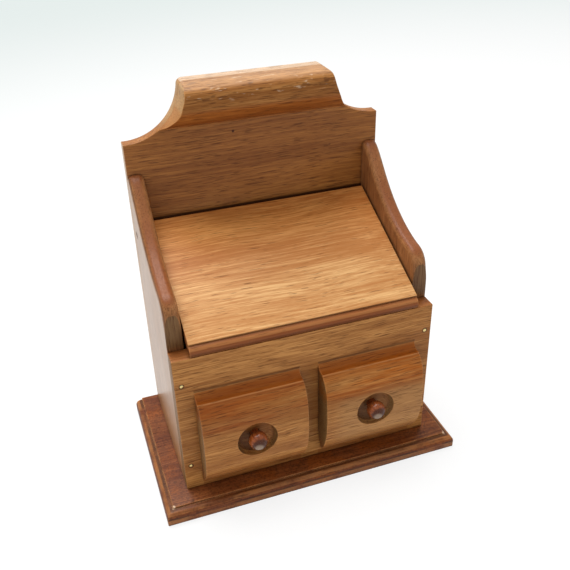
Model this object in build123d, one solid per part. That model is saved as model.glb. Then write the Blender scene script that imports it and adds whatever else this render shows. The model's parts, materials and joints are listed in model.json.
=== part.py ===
from build123d import *
import math
import os

# A small lidded wooden card box on a moulded base. It stands on its base, with +Z up
# and the front facing -Y. The origin is under the middle of the base, on the surface it
# stands on. All sizes are in millimetres.

# ---------------------------------------------------------------- boards
body_width = 152.0          # outside of one side board to the outside of the other
body_depth = 90.5           # face of the front board to the rear of the back board
side_thick = 9.0
front_thick = 9.5           # flat upper part of the front board
back_thick = 7.4            # flat part of the back board
front_height = 92.0         # front board, above the base
shoulder_height = 180.5     # square shoulders of the back board, above the base
crest_height = 212.0        # top of the crest, above the base
arris_ease = 0.5            # softening of the sharp edges of the boards

# ---------------------------------------------------------------- base board
base_thick = 9.3
base_side_reach = 15.0      # base beyond the side boards
base_front_reach = 15.0     # base beyond the flat of the front board
base_rear_reach = 0.5
edge_step = 1.2             # moulded edge: square step below the top arris
edge_landing = 0.9          # flat landing at the foot of the step
edge_round = 3.4            # quarter-round below the landing
edge_ease = 0.6             # softening of the lower arris

# ---------------------------------------------------------------- side boards
arm_face_height = 113.4     # top of the upright front end of the arm, above the base
arm_rear_height = 163.0     # top of the arm where it meets the back board, above the base
arm_nose_radius = 12.0      # turn from the front end of the arm into its top edge
arm_face_slope = 75.0       # degrees, where the nose starts at the front end
arm_start_slope = 9.0       # degrees, where the long sweep leaves the nose
arm_knee_run = 21.1         # steepest part of the sweep, in front of the back board
arm_knee_drop = 18.0        # and below the rear end of the arm
arm_crown_run = 8.1         # where the arm turns over towards the back board
arm_crown_drop = 4.7
arm_end_slope = 4.0         # degrees, where the arm meets the back board
arm_round = 3.4             # rounding of both long edges of the arm
arm_run_on = 20.0           # the rounding is cut past the front end and trimmed back

# ---------------------------------------------------------------- back board and crest
shoulder_flat = 1.7         # level part of each shoulder
crest_half_width = 42.3     # half the width of the crest at its top
crest_corner = 3.0          # rounding of the crest's upper corners
crest_depth = 23.7          # front of the roll to the rear of the back board
roll_top_fall = 0.7         # the top falls this much towards the front
roll_turn = 6.7             # turn from the top into the upright front
roll_front_drop = 13.0      # top of the crest down to the end of the upright front
roll_nose_drop = 1.85       # small turn below the upright front
roll_nose_set = 0.65
roll_foot_drop = 25.1       # top of the crest down to the foot of the roll
roll_quirk = 0.8            # small square edge at the foot

# ---------------------------------------------------------------- false drawers
drawer_half_span = 66.0     # outer end of each drawer from the middle of the front
drawer_gap = 11.0           # upright channel between the two drawers
ledge_height = 65.0         # flat ledge over the drawers, above the base
ledge_reach = 6.2           # arris of the ledge in front of the flat
ledge_cove = 4.7            # hollow between the flat and the ledge
bulge_reach = 14.35         # fullest part of the drawer fronts, in front of the flat
bulge_middle = 39.7         # height of the fullest part, above the base
bulge_half_height = 14.0    # half the height of the long shallow middle curve
bulge_middle_rise = 1.15    # how far that middle curve swells
bulge_foot = 4.5            # lower end of the drawer fronts, above the base
channel_bend = 21.7         # height above the base where the channel's floor turns out
channel_radius = 15.0       # and the radius of that turn
channel_turn = 75.0         # degrees, how far the floor turns

# ---------------------------------------------------------------- dishes and knobs
dish_height = 37.7          # centre of each dish, above the base
dish_radius = 11.5
dish_depth = 6.5            # floor of the dish behind the fullest part of the drawer
dish_fillet = 4.5           # hollow turn between the wall and the floor of the dish
knob_radius = 5.4           # ball of the knob
knob_stand = 6.75           # middle of the ball before the floor of the dish
knob_neck_radius = 3.0
tenon_radius = 2.5
tenon_length = 9.0
tenon_clearance = 0.05

# ---------------------------------------------------------------- lid and hinge
lid_thick = 6.4
lid_slope = 24.5            # degrees
lid_side_gap = 1.0          # between each end of the lid and the side board
lid_rear_gap = 1.2          # lower rear edge of the lid to the back board
lid_rest_gap = 0.1          # lower front corner of the lid, before easing, above the front
pin_radius = 1.5
pin_set_in = 6.2            # pin axis from the rear edge of the lid, along the lid
pin_in_lid = 12.0           # length of pin inside the lid
pin_sunk = 1.5              # outer end of the pin below the face of the side board
pin_drive_clearance = 0.02  # pin in the side board
pin_running_clearance = 0.06    # pin in the lid
pin_end_clearance = 0.5     # end of the pin to the bottom of its hole in the lid

# ---------------------------------------------------------------- brads and screws
brad_shank_radius = 0.65
brad_head_radius = 1.05
brad_head_thick = 0.5
brad_dome = 0.3             # domed part of the head
brad_length = 20.0          # under the head
brad_clearance = 0.02
brad_side_set = 3.9         # brads from the outer face of the side board
front_brad_heights = (75.0, 17.4)           # above the base
back_brad_heights = (20.0, 80.0)            # lower two of each side, above the base
back_brad_above_pin = 10.2  # top brad above the hinge pin
screw_shank_radius = 1.75
screw_head_radius = 3.5
screw_length = 25.0
screw_sink = 0.4            # head below the underside of the base
screw_clearance = 0.02
screw_front_set = 16.0      # front pair of screws behind the front board
screw_rear_set = 16.0       # rear pair of screws in front of the back board
slot_width = 0.9
slot_depth = 0.9

# ---------------------------------------------------------------- places that follow
base_depth = base_front_reach + body_depth + base_rear_reach
base_front_y = -base_depth / 2
face_y = base_front_y + base_front_reach            # flat of the front board
rear_y = face_y + body_depth                        # rear of the back board
side_front_y = face_y + front_thick                 # front edges of the side boards
panel_y = rear_y - back_thick                       # front of the back board
half_body = body_width / 2
inner_x = half_body - side_thick                    # inner faces of the side boards
base_half_width = half_body + base_side_reach
front_top_z = base_thick + front_height
shoulder_z = base_thick + shoulder_height
crest_top_z = base_thick + crest_height
dish_x = (drawer_half_span + drawer_gap / 2) / 2
dish_z = base_thick + dish_height
dish_floor_y = face_y - bulge_reach + dish_depth
brad_x = half_body - brad_side_set
screw_x = half_body - side_thick / 2
screw_rows = (side_front_y + screw_front_set, panel_y - screw_rear_set)
lid_half_width = inner_x - lid_side_gap

slope = math.radians(lid_slope)
lid_front_z = front_top_z + lid_rest_gap
lid_length = (panel_y - lid_rear_gap - face_y) / math.cos(slope)
pin_along = lid_length - pin_set_in                 # from the lid's front edge
pin_y = face_y + pin_along * math.cos(slope) - lid_thick / 2 * math.sin(slope)
pin_z = lid_front_z + pin_along * math.sin(slope) + lid_thick / 2 * math.cos(slope)


def prism_along_x(outline, half_length):
    """Solid whose Y-Z section is the closed outline, centred on the middle plane."""
    return extrude(Plane.YZ * make_face(outline), half_length, both=True)


def prism_along_y(outline, y_from, y_to):
    """Solid whose X-Z section is the closed outline, between two depths."""
    section = Plane.XZ.offset(-y_from) * make_face(outline)
    return extrude(section, -(y_to - y_from))


def rod(radius, start, direction, length):
    """Round bar from a start point along a direction."""
    place = Plane(origin=start, z_dir=direction)
    return extrude(place * Circle(radius), length)


def close(edges):
    """The edges of an open chain, in order, with the straight edge that closes it."""
    return [*edges, Line(edges[-1] @ 1, edges[0] @ 0)]


def moulded_edge(outer, inward, bottom, top):
    """Edge of a board, from its eased lower arris up: upright, quarter-round,
    landing, square step and top arris. inward is +1 or -1 along the board."""
    landing = top - edge_step
    step = outer + inward * (edge_round + edge_landing)
    ease_end = (outer, bottom + edge_ease)
    round_start = (outer, landing - edge_round)
    round_end = (outer + inward * edge_round, landing)
    ease = TangentArc((outer + inward * edge_ease, bottom), ease_end, tangent=(-inward, 0))
    ovolo = TangentArc(round_start, round_end, tangent=(0, 1))
    return [
        ease,
        Line(ease_end, round_start),
        ovolo,
        Line(round_end, (step, landing)),
        Line((step, landing), (step, top)),
    ]


def turned(profile, start, way):
    """Solid turned from a closed half section: x is the radius, y runs along way."""
    across = Vector(0, 1, 0) if abs(way.X) > 0.5 else Vector(1, 0, 0)
    place = Plane(origin=start, x_dir=across, z_dir=across.cross(way))
    return place * revolve(make_face(profile), Axis.Y)


def cap(outer, inner, base, height):
    """Part of a round cap on the turning axis, from radius outer in to radius inner.
    The whole cap would rise by height from its rim."""
    ball = (outer * outer + height * height) / (2 * height)

    def level(radius):
        reach = math.sqrt(ball * ball - radius * radius)
        return base + height - ball + math.copysign(reach, height)

    middle = (outer + inner) / 2
    return ThreePointArc((outer, base), (middle, level(middle)), (inner, level(inner)))


# ---------------------------------------------------------------- fasteners

def brad_solid(mouth, way):
    """Round-headed brad driven along way from its mouth, its dome flush with the face."""
    under_head = brad_head_thick
    length = brad_head_thick + brad_length
    shoulder = length - 2 * brad_shank_radius
    return turned(close([
        Line((0, length), (brad_shank_radius, shoulder)),
        Line((brad_shank_radius, shoulder), (brad_shank_radius, under_head)),
        Line((brad_shank_radius, under_head), (brad_head_radius, under_head)),
        Line((brad_head_radius, under_head), (brad_head_radius, brad_dome)),
        cap(brad_head_radius, 0, brad_dome, -brad_dome),
    ]), mouth, way)


def brad_hole(mouth, way):
    """Cutter for one brad: the drilled hole and the seat of its head."""
    hole = rod(brad_shank_radius + brad_clearance, mouth, way, brad_head_thick + brad_length)
    seat = rod(brad_head_radius + brad_clearance, mouth - way, way, 1 + brad_head_thick)
    return hole + seat


def screw_solid(mouth, way):
    """Countersunk slotted screw driven along way, its head at the mouth."""
    cone = screw_head_radius - screw_shank_radius
    point_length = 3 * screw_shank_radius
    body = turned(close([
        Line((0, 0), (screw_head_radius, 0)),
        Line((screw_head_radius, 0), (screw_shank_radius, cone)),
        Line((screw_shank_radius, cone), (screw_shank_radius, screw_length - point_length)),
        Line((screw_shank_radius, screw_length - point_length), (0, screw_length)),
    ]), mouth, way)
    slot = Box(2 * screw_head_radius + 1, slot_width, 2 * slot_depth)
    return body - Pos(*mouth) * slot


def screw_hole(mouth, way):
    """Cutter for one screw: the drilled hole, the countersink and its open mouth."""
    hole = rod(screw_shank_radius + screw_clearance, mouth, way, screw_length)
    wide = screw_head_radius + screw_clearance
    cone = wide - screw_shank_radius
    sink = turned(close([
        Line((0, -1 - screw_sink), (wide, -1 - screw_sink)),
        Line((wide, -1 - screw_sink), (wide, 0)),
        Line((wide, 0), (screw_shank_radius, cone)),
        Line((screw_shank_radius, cone), (0, cone)),
    ]), mouth, way)
    return hole + sink


def front_brad_mouths():
    return [Vector(side * brad_x, face_y, base_thick + height)
            for side in (-1, 1) for height in front_brad_heights]


def back_brad_mouths():
    levels = [base_thick + height for height in back_brad_heights]
    levels.append(pin_z + back_brad_above_pin)
    return [Vector(side * brad_x, rear_y, level) for side in (-1, 1) for level in levels]


def screw_mouths():
    return [Vector(side * screw_x, y, screw_sink) for side in (-1, 1) for y in screw_rows]


front_way = Vector(0, 1, 0)
back_way = Vector(0, -1, 0)
up_way = Vector(0, 0, 1)


# ---------------------------------------------------------------- hinge

def hinge_pin(side):
    """Plain pin through one side board into the end of the lid."""
    outer = Vector(side * (half_body - pin_sunk), pin_y, pin_z)
    inner_end = lid_half_width - pin_in_lid
    return rod(pin_radius, outer, Vector(-side, 0, 0), half_body - pin_sunk - inner_end)


def pin_hole_in_side(side):
    outer = Vector(side * (half_body + 1), pin_y, pin_z)
    return rod(pin_radius + pin_drive_clearance, outer, Vector(-side, 0, 0), side_thick + 2)


def pin_hole_in_lid(side):
    mouth = Vector(side * (lid_half_width + 1), pin_y, pin_z)
    depth = 1 + pin_in_lid + pin_end_clearance
    return rod(pin_radius + pin_running_clearance, mouth, Vector(-side, 0, 0), depth)


# ---------------------------------------------------------------- wooden pieces

def base_board():
    """Flat base, moulded on its front and both sides, plain at the rear."""
    across_right = moulded_edge(base_half_width, -1, 0, base_thick)
    across_left = moulded_edge(-base_half_width, 1, 0, base_thick)
    joins = [
        Line(across_left[-1] @ 1, across_right[-1] @ 1),
        Line(across_left[0] @ 0, across_right[0] @ 0),
    ]
    rear = base_front_y + base_depth
    across = prism_along_y(across_left + across_right + joins, base_front_y, rear)
    front = moulded_edge(base_front_y, 1, 0, base_thick)
    along = prism_along_x(close([
        *front,
        Line(front[-1] @ 1, (rear, base_thick)),
        Line((rear, base_thick), (rear, 0)),
    ]), base_half_width)
    board = across & along
    for mouth in screw_mouths():
        board -= screw_hole(mouth, up_way)
    return board


def side_board(side):
    """Side board whose top sweeps up as an arm to meet the back board."""
    rear_z = base_thick + arm_rear_height
    nose_z = base_thick + arm_face_height
    steep = math.radians(arm_face_slope)
    way = Vector(math.cos(steep), math.sin(steep))
    nose = JernArc((side_front_y, nose_z), (way.X, way.Y), arm_nose_radius,
                   arm_start_slope - arm_face_slope)
    knee = (panel_y - arm_knee_run, rear_z - arm_knee_drop)
    crown = (panel_y - arm_crown_run, rear_z - arm_crown_drop)
    level = math.radians(arm_end_slope)
    sweep = Spline(nose @ 1, knee, crown, (panel_y, rear_z),
                   tangents=(nose % 1, (math.cos(level), math.sin(level))))
    run_on = nose @ 0 - way * arm_run_on
    outline = close([
        Line((run_on.X, base_thick), run_on),
        Line(run_on, nose @ 0),
        nose, sweep,
        Line((panel_y, rear_z), (panel_y, base_thick)),
    ])
    section = Plane.YZ.offset(side * inner_x) * make_face(outline)
    board = extrude(section, side * side_thick)
    top_edges = [edge for edge in board.edges()
                 if edge.center().Z > run_on.Y and abs((edge % 0.5).X) < 0.5
                 and abs((edge % 0.5).Z) < 0.999]
    board = fillet(top_edges, arm_round)
    waste = Pos(side * screw_x, side_front_y - arm_run_on / 2, nose_z)
    board -= waste * Box(2 * side_thick, arm_run_on, 3 * nose_z)
    for mouth in front_brad_mouths():
        board -= brad_hole(mouth, front_way)
    for mouth in back_brad_mouths():
        board -= brad_hole(mouth, back_way)
    for mouth in screw_mouths():
        board -= screw_hole(mouth, up_way)
    return board - pin_hole_in_side(side)


def back_outline():
    """Outline of the back board in X-Z: square shoulders swept up to a tall crest."""
    corner_z = crest_top_z - crest_corner
    right = []
    right.append(Line((half_body, base_thick), (half_body, shoulder_z)))
    right.append(Line(right[-1] @ 1, (half_body - shoulder_flat, shoulder_z)))
    right.append(TangentArc(right[-1] @ 1, (crest_half_width, corner_z), tangent=(-1, 0)))
    right.append(TangentArc(right[-1] @ 1, (crest_half_width - crest_corner, crest_top_z),
                            tangent=right[-1] % 1))
    left = [mirror(edge, Plane.YZ) for edge in right]
    top_end = crest_half_width - crest_corner
    return right + left + [
        Line((top_end, crest_top_z), (-top_end, crest_top_z)),
        Line((half_body, base_thick), (-half_body, base_thick)),
    ]


def back_board():
    """Full-width back board behind the side boards."""
    board = prism_along_y(back_outline(), panel_y, rear_y)
    for mouth in back_brad_mouths():
        board -= brad_hole(mouth, back_way)
    return board


def crest_moulding():
    """Rolled moulding glued to the front of the crest and cut to the same outline."""
    front = rear_y - crest_depth
    turn_top = crest_top_z - roll_top_fall
    top = Line((panel_y, crest_top_z), (front + roll_turn, turn_top))
    turn = TangentArc(top @ 1, (front, turn_top - roll_turn), tangent=top % 1)
    upright = Line(turn @ 1, (front, crest_top_z - roll_front_drop))
    nose_end = upright @ 1 + Vector(roll_nose_set, -roll_nose_drop)
    nose = TangentArc(upright @ 1, nose_end, tangent=(0, -1))
    foot = (panel_y - roll_quirk, crest_top_z - roll_foot_drop)
    under = TangentArc(nose @ 1, foot, tangent=nose % 1)
    quirk_end = (panel_y - roll_quirk, crest_top_z - roll_foot_drop - roll_quirk)
    outline = close([
        top, turn, upright, nose, under,
        Line(under @ 1, quirk_end),
        Line(quirk_end, (panel_y, crest_top_z - roll_foot_drop - roll_quirk)),
    ])
    roll = prism_along_x(outline, half_body)
    return roll & prism_along_y(back_outline(), front - 1, panel_y)


def bulge_outline():
    """Y-Z section of the drawer fronts: hollow, ledge and a full convex front."""
    ledge_z = base_thick + ledge_height
    middle_z = base_thick + bulge_middle
    full = face_y - bulge_reach
    shoulder = full + bulge_middle_rise
    cove_start = (face_y, ledge_z + ledge_cove)
    cove = TangentArc(cove_start, (face_y - ledge_cove, ledge_z), tangent=(0, -1))
    ledge = Line(cove @ 1, (face_y - ledge_reach, ledge_z))
    middle = ThreePointArc((shoulder, middle_z + bulge_half_height), (full, middle_z),
                           (shoulder, middle_z - bulge_half_height))
    top_way = (middle % 0) * -1
    upper = TangentArc(middle @ 0, ledge @ 1, tangent=top_way)
    lower = TangentArc(middle @ 1, (face_y, base_thick + bulge_foot), tangent=middle % 1)
    return close([cove, ledge, upper, middle, lower])


def channel_outline():
    """Y-Z section of the cutter for the upright channel between the drawers."""
    bend_z = base_thick + channel_bend
    floor = Line((face_y, front_top_z), (face_y, bend_z))
    out = JernArc(floor @ 1, (0, -1), channel_radius, -channel_turn)
    clear_y = face_y - 2 * bulge_reach
    return close([
        floor, out,
        Line(out @ 1, (clear_y, (out @ 1).Y)),
        Line((clear_y, (out @ 1).Y), (clear_y, front_top_z)),
    ])


def dish_cutter(x):
    """Turned cutter for the dish round one knob."""
    depth = dish_depth
    mouth = Vector(x, dish_floor_y - depth, dish_z)
    flat = dish_radius - dish_fillet
    return turned(close([
        Line((0, -bulge_reach), (dish_radius, -bulge_reach)),
        Line((dish_radius, -bulge_reach), (dish_radius, depth - dish_fillet)),
        TangentArc((dish_radius, depth - dish_fillet), (flat, depth), tangent=(0, 1)),
        Line((flat, depth), (0, depth)),
    ]), mouth, front_way)


def front_board():
    """Front board carved as two false drawers under a plain flat band."""
    flat = prism_along_x(close([
        Line((face_y, base_thick), (face_y, front_top_z)),
        Line((face_y, front_top_z), (side_front_y, front_top_z)),
        Line((side_front_y, front_top_z), (side_front_y, base_thick)),
    ]), half_body)
    drawers = prism_along_x(bulge_outline(), drawer_half_span)
    drawers -= prism_along_x(channel_outline(), drawer_gap / 2)
    board = flat + drawers
    for side in (-1, 1):
        board -= dish_cutter(side * dish_x)
        hole_mouth = Vector(side * dish_x, dish_floor_y - 1, dish_z)
        board -= rod(tenon_radius + tenon_clearance, hole_mouth, front_way,
                     1 + tenon_length + tenon_clearance)
    for mouth in front_brad_mouths():
        board -= brad_hole(mouth, front_way)
    return board


def knob(side):
    """Turned ball knob on a short neck, with a tenon glued into the front board."""
    neck_end = knob_stand - math.sqrt(knob_radius ** 2 - knob_neck_radius ** 2)
    ball = ThreePointArc((knob_neck_radius, neck_end), (knob_radius, knob_stand),
                         (0, knob_stand + knob_radius))
    return turned(close([
        Line((0, -tenon_length), (tenon_radius, -tenon_length)),
        Line((tenon_radius, -tenon_length), (tenon_radius, 0)),
        Line((tenon_radius, 0), (knob_neck_radius, 0)),
        Line((knob_neck_radius, 0), (knob_neck_radius, neck_end)),
        ball,
    ]), Vector(side * dish_x, dish_floor_y, dish_z), back_way)


def lid():
    """Sloping lid with a moulded front edge, bored at each end for its pins."""
    place = Plane(origin=(0, face_y, lid_front_z),
                  x_dir=(0, math.cos(slope), math.sin(slope)), z_dir=(1, 0, 0))
    edge = moulded_edge(0, 1, 0, lid_thick)
    outline = close([
        *edge,
        Line(edge[-1] @ 1, (lid_length - arris_ease, lid_thick)),
        Line((lid_length - arris_ease, lid_thick), (lid_length, lid_thick - arris_ease)),
        Line((lid_length, lid_thick - arris_ease), (lid_length, arris_ease)),
        Line((lid_length, arris_ease), (lid_length - arris_ease, 0)),
    ])
    board = extrude(place * make_face(outline), lid_half_width, both=True)
    for side in (-1, 1):
        board -= pin_hole_in_lid(side)
    return board


def build():
    """Every piece by the name of its node."""
    pieces = {
        "base_board": base_board(),
        "side_left": side_board(-1),
        "side_right": side_board(1),
        "back_board": back_board(),
        "crest_moulding": crest_moulding(),
        "front_board": front_board(),
        "knob_left": knob(-1),
        "knob_right": knob(1),
        "lid": lid(),
        "hinge_pin_left": hinge_pin(-1),
        "hinge_pin_right": hinge_pin(1),
        "front_brads": [brad_solid(mouth, front_way) for mouth in front_brad_mouths()],
        "back_brads": [brad_solid(mouth, back_way) for mouth in back_brad_mouths()],
        "base_screws": [screw_solid(mouth, up_way) for mouth in screw_mouths()],
    }
    return pieces


def save(name, piece):
    """One file for a node; a group of like fasteners stays separate solids."""
    if isinstance(piece, list):
        piece = Compound(children=[solid for item in piece for solid in item.solids()])
    export_step(piece, os.path.join("parts", name + ".step"))


os.makedirs("parts", exist_ok=True)
for name, piece in build().items():
    save(name, piece)
print("hinge axis at y %.3f z %.3f" % (pin_y, pin_z))
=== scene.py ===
"""Wooden index card box: the finish of its boards, knobs and brads, and a plain stage.

Shapes are worked out in millimetres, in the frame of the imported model, and go into
their meshes in metres. Each new piece stands where its CAD node stands.
"""

import json
import math

import bmesh
import bpy
import numpy as np
from bpy.props import FloatProperty, FloatVectorProperty, PointerProperty
from mathutils import Matrix, Vector

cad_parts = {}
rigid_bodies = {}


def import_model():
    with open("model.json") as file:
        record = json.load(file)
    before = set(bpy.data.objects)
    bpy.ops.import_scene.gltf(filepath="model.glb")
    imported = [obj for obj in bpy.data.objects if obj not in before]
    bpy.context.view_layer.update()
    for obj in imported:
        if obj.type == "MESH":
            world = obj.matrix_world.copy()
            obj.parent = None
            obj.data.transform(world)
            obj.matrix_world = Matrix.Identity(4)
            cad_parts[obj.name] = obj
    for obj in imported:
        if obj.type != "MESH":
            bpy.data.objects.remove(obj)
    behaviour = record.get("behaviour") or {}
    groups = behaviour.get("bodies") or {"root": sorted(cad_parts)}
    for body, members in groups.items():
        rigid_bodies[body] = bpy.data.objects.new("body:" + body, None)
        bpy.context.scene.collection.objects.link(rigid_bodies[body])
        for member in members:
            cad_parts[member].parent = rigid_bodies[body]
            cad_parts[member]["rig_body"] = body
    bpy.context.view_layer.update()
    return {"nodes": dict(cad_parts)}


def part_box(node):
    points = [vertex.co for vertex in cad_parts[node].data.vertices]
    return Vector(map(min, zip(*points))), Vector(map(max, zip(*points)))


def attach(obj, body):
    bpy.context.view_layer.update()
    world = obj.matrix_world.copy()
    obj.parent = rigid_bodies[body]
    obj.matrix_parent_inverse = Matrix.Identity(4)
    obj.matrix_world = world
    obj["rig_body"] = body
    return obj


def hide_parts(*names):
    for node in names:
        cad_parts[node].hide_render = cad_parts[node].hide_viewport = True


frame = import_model()

bl_info = {
    "name": "Index card box",
    "version": (1, 0, 0),
    "blender": (4, 5, 0),
    "location": "View3D > Sidebar > Card box",
    "description": "Builds the boards, knobs, brads and stage of a wooden index card box",
    "category": "Object",
}

MM = 0.001

# Sizes that the boxes of the CAD nodes don't give, in millimetres.
BRAD = 1.05  # radius of a CAD brad's head
PANEL = 9.5  # flat part of the front board, from its rear
DRAWER_ENDS = 5.5, 66.0  # ends of a drawer front, from the middle of the box
DISH_X, DISH_Z = 35.75, 37.7  # middle of a dish, from the box's middle and the board's foot
DISH_DEPTH = 6.5  # floor of a dish, behind the fullest part of the drawer fronts
LEDGE = 65.0  # ledge of the drawer fronts, over the board's foot


def corners(node):
    """Lowest and highest corner of a CAD node, in millimetres."""
    low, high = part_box(node)
    return np.array(low) / MM, np.array(high) / MM


def middle(node):
    """Middle of a CAD node's box, in millimetres."""
    return sum(corners(node)) / 2


def lid_corner():
    """Y and Z of the lid's lower front corner, and its slope in radians."""
    return (corners("back_board")[0][1] - 83.1, corners("front_board")[1][2] + 0.1,
            math.radians(24.5))


def linear(red, green, blue):
    """A screen colour from 0 to 255 as the linear values that a shader takes."""
    share = np.array([red, green, blue]) / 255
    return tuple(np.where(share <= 0.04045, share / 12.92, ((share + 0.055) / 1.055) ** 2.4))


# ---------------------------------------------------------------- settings

def length(name, description, millimetres):
    return FloatProperty(name=name, description=description, default=millimetres * MM,
                         unit="LENGTH", precision=5, min=0.0)


def colour(name, description, red, green, blue):
    return FloatVectorProperty(name=name, description=description, size=3, subtype="COLOR",
                               min=0.0, max=1.0, default=linear(red, green, blue))


def share(name, description, value):
    return FloatProperty(name=name, description=description, default=value, min=0.0, max=1.0,
                         subtype="FACTOR")


class CardBoxShape(bpy.types.PropertyGroup):
    """Sizes of the box's edges and small forms."""

    edge_ease: length("Edge ease", "Softening of the boards' sharp edges", 0.35)
    arm_round: length("Arm round", "Rounding of both long edges of the arms", 3.4)
    drawer_reach: length("Drawer reach", "Fullest part of the drawer fronts, before the flat",
                         14.35)
    dish_radius: length("Dish radius", "Radius of the dish round each knob", 11.5)
    knob_radius: length("Knob radius", "Radius of the knobs' balls", 5.4)
    knob_stand: length("Knob stand", "Middle of a knob's ball before the floor of its dish",
                       6.75)
    brad_radius: length("Brad radius", "Radius of the brads' heads", 0.95)
    brad_stand: length("Brad stand", "How far the brads' domes stand proud", 0.28)


class CardBoxFinish(bpy.types.PropertyGroup):
    """Colours and gloss of the wood and the metal."""

    front_light: colour("Front light", "Light grain of the front board", 196, 139, 77)
    front_dark: colour("Front dark", "Dark grain of the front board", 142, 88, 40)
    back_light: colour("Back light", "Light grain of the back board", 170, 111, 52)
    back_dark: colour("Back dark", "Dark grain of the back board", 127, 74, 30)
    crest_light: colour("Crest light", "Light grain of the crest", 176, 122, 66)
    crest_dark: colour("Crest dark", "Dark grain of the crest", 130, 78, 32)
    lid_light: colour("Lid light", "Light grain of the lid", 228, 182, 124)
    lid_dark: colour("Lid dark", "Dark grain of the lid", 180, 121, 68)
    side_light: colour("Side light", "Light grain of the side boards", 168, 114, 70)
    side_dark: colour("Side dark", "Dark grain of the side boards", 132, 82, 44)
    base_light: colour("Base light", "Light grain of the base", 147, 86, 45)
    base_dark: colour("Base dark", "Dark grain of the base", 99, 46, 19)
    knob_light: colour("Knob light", "Light grain of the knobs", 172, 94, 46)
    knob_dark: colour("Knob dark", "Dark grain of the knobs", 112, 52, 22)
    # Deep stain is also painted shade on the drawers' tucked-in foot.
    deep: colour("Deep stain", "Stain in coves, steps and on cut ends", 122, 58, 22)
    warm: colour("Warm stain", "Orange stain where the cutter ran", 160, 82, 16)
    amber: colour("Amber", "What a second, orange stain lets through", 244, 206, 154)
    faded: colour("Faded", "Grey-brown of wood that took little stain", 112, 84, 50)
    # Pale tan is also painted light from the left on the side boards' outer faces.
    bare: colour("Sawn end", "Pale tan of sawn ends", 176, 136, 88)
    pore: colour("Pores", "Stain in the open pores", 74, 36, 14)
    # Mostly painted shade, in corners, steps, gaps, dishes and round sunk heads, and a painted
    # dark reflection on the knobs; also real dents and specks.
    grime: colour("Grime", "Dirt and dark stain in corners", 44, 18, 6)
    # Also painted highlights along the tops of rounds and along the drawers' arris.
    worn: colour("Worn edge", "Wood that shows where an edge is rubbed", 204, 142, 84)
    # Also painted sheen along the crest's and back board's top edges, and the floor's painted
    # reflection on the knobs.
    chalk: colour("Chips", "Pale specks where the lacquer is chipped", 226, 204, 176)
    brass: colour("Brass", "Heads of the brads", 240, 214, 146)
    steel: colour("Steel", "Darkened steel of the hinge pins and screws", 58, 52, 46)
    lacquer: share("Lacquer", "Strength of the lacquer coat", 0.15)


class CardBoxStage(bpy.types.PropertyGroup):
    """Light and floor round the box."""

    floor: colour("Floor", "Colour of the floor", 250, 250, 249)
    far: colour("Backdrop", "Colour of the backdrop and the far floor", 231, 239, 237)
    sky: FloatProperty(name="Surround", description="Strength of the light all round",
                       default=0.6, min=0.0)
    overhead: FloatProperty(name="Overhead lamp", description="Power of the lamp above",
                            default=18.0, min=0.0, unit="POWER")


# ---------------------------------------------------------------- curves

def turn_by(way, angle):
    """A way in the plane turned by an angle in radians; either may be many at once."""
    return np.stack([way[0] * np.cos(angle) - way[1] * np.sin(angle),
                     way[0] * np.sin(angle) + way[1] * np.cos(angle)], axis=-1)


def tangent_arc(start, way, end, steps=12):
    """Arc that leaves start along way and ends at end, and its heading there.
    The chord to a point turns from way by a share of the whole chord's angle, and is as
    long as the whole chord times the sine of that share over the sine of the angle."""
    chord = np.subtract(end, start)
    way = np.array(way) / np.hypot(*way)
    angle = math.atan2(way[0] * chord[1] - way[1] * chord[0], way @ chord)
    turn = np.linspace(0, angle, steps + 1)
    reach = np.hypot(*chord) * np.sin(turn) / math.sin(angle)
    return start + reach[:, None] * turn_by(way, turn), turn_by(way, 2 * angle)


def arc(centre, radius, first, last, steps):
    """Points of an arc round centre, from the angle first to last, in degrees."""
    angle = np.radians(np.linspace(first, last, steps + 1))
    return turn_by((radius, 0.0), angle) + centre


def smooth_curve(points, first_way, last_way, steps=16):
    """Cubic curve through points with given directions at its ends: Hermite pieces whose
    slopes solve the equations that let the curvature run on through each inner point."""
    points = np.array(points, float)
    gap = np.hypot(*np.diff(points, axis=0).T)
    pace = np.diff(points, axis=0) / gap[:, None]
    inner = np.arange(1, len(points) - 1)
    matrix, right = np.eye(len(points)), np.zeros((len(points), 2))
    right[0], right[-1] = first_way, last_way
    matrix[inner, inner - 1] = gap[inner]
    matrix[inner, inner] = 2 * (gap[inner - 1] + gap[inner])
    matrix[inner, inner + 1] = gap[inner - 1]
    right[inner] = 3 * (gap[inner, None] * pace[inner - 1] + gap[inner - 1, None] * pace[inner])
    slope = np.linalg.solve(matrix, right)
    t = np.linspace(0, 1, steps + 1)[:, None]
    width = gap[:, None, None]
    curve = ((2 * t**3 - 3 * t**2 + 1) * points[:-1, None]
             + (t**3 - 2 * t**2 + t) * width * slope[:-1, None]
             + (3 * t**2 - 2 * t**3) * points[1:, None]
             + (t**3 - t**2) * width * slope[1:, None])
    return np.vstack([curve[:, :-1].reshape(-1, 2), points[-1:]])


def moulded_edge(thick):
    """Section of the moulded edge as inset and height: eased foot, upright, quarter-round,
    landing, square step and eased arris."""
    step, landing, ovolo, ease, arris = 1.2, 0.9, 3.4, 0.6, 0.25
    level = thick - step
    inner = ovolo + landing
    return np.vstack([
        arc((ease, ease), ease, 270, 180, 4),
        arc((ovolo, level - ovolo), ovolo, 180, 90, 10),
        [(inner - 0.1, level), (inner, level + 0.1)],
        arc((inner + arris, thick - arris), arris, 180, 90, 3),
    ])


# ---------------------------------------------------------------- meshes

def ring_quads(index):
    """Quads between neighbouring closed rings, from the numbers of the rings' points."""
    after = np.roll(index, -1, axis=1)
    return np.stack([index[:-1], after[:-1], after[1:], index[1:]], axis=-1)


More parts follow.
